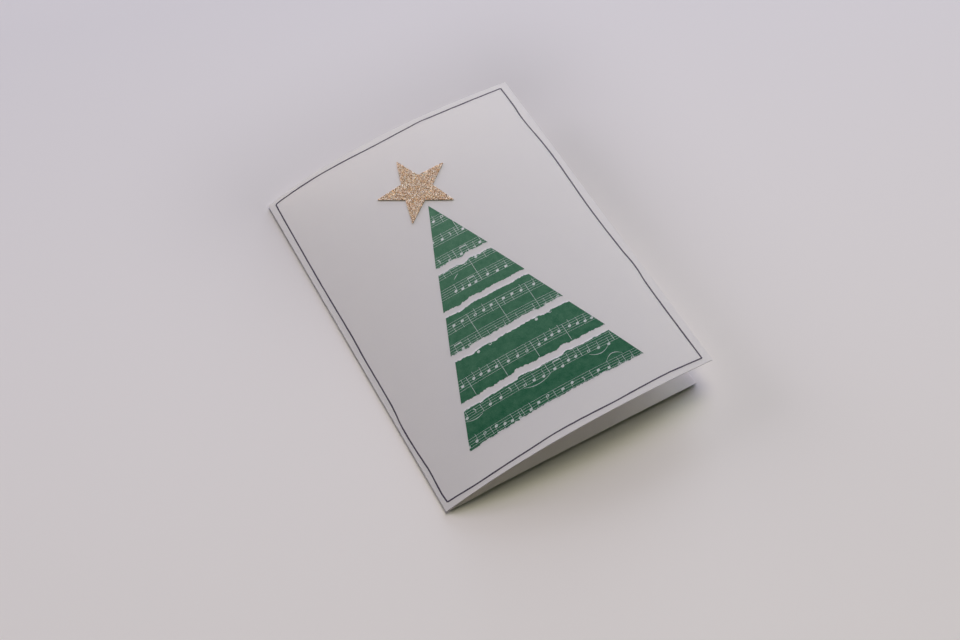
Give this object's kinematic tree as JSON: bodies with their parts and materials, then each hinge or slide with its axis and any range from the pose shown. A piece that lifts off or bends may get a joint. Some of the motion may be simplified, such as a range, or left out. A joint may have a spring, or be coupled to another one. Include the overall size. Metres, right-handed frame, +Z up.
{
  "type": "greeting card",
  "caption": "Handmade folded greeting card lying on its back panel, its bowed front carrying a tree of torn green paper strips, a glitter star and a thin drawn frame.",
  "frame": {"origin": "centre of the back panel's outer face, which lies on the table", "axes": "+X from the fold to the free edges, +Y along the fold towards the top of the picture, +Z up out of the front"},
  "size_m": [0.1064, 0.148, 0.0151],
  "materials": {
    "card": "matt uncoated card",
    "ink": "dried pen ink",
    "glitter": "fine gold glitter",
    "printed_paper": "matt print"
  },
  "bodies": {
    "root": {"folded_card": "card", "ink_border": "ink", "glitter_star": "glitter", "tree_strip_1": "printed_paper", "tree_strip_2": "printed_paper", "tree_strip_3": "printed_paper", "tree_strip_4": "printed_paper", "tree_strip_5": "printed_paper"}
  },
  "joints": []
}
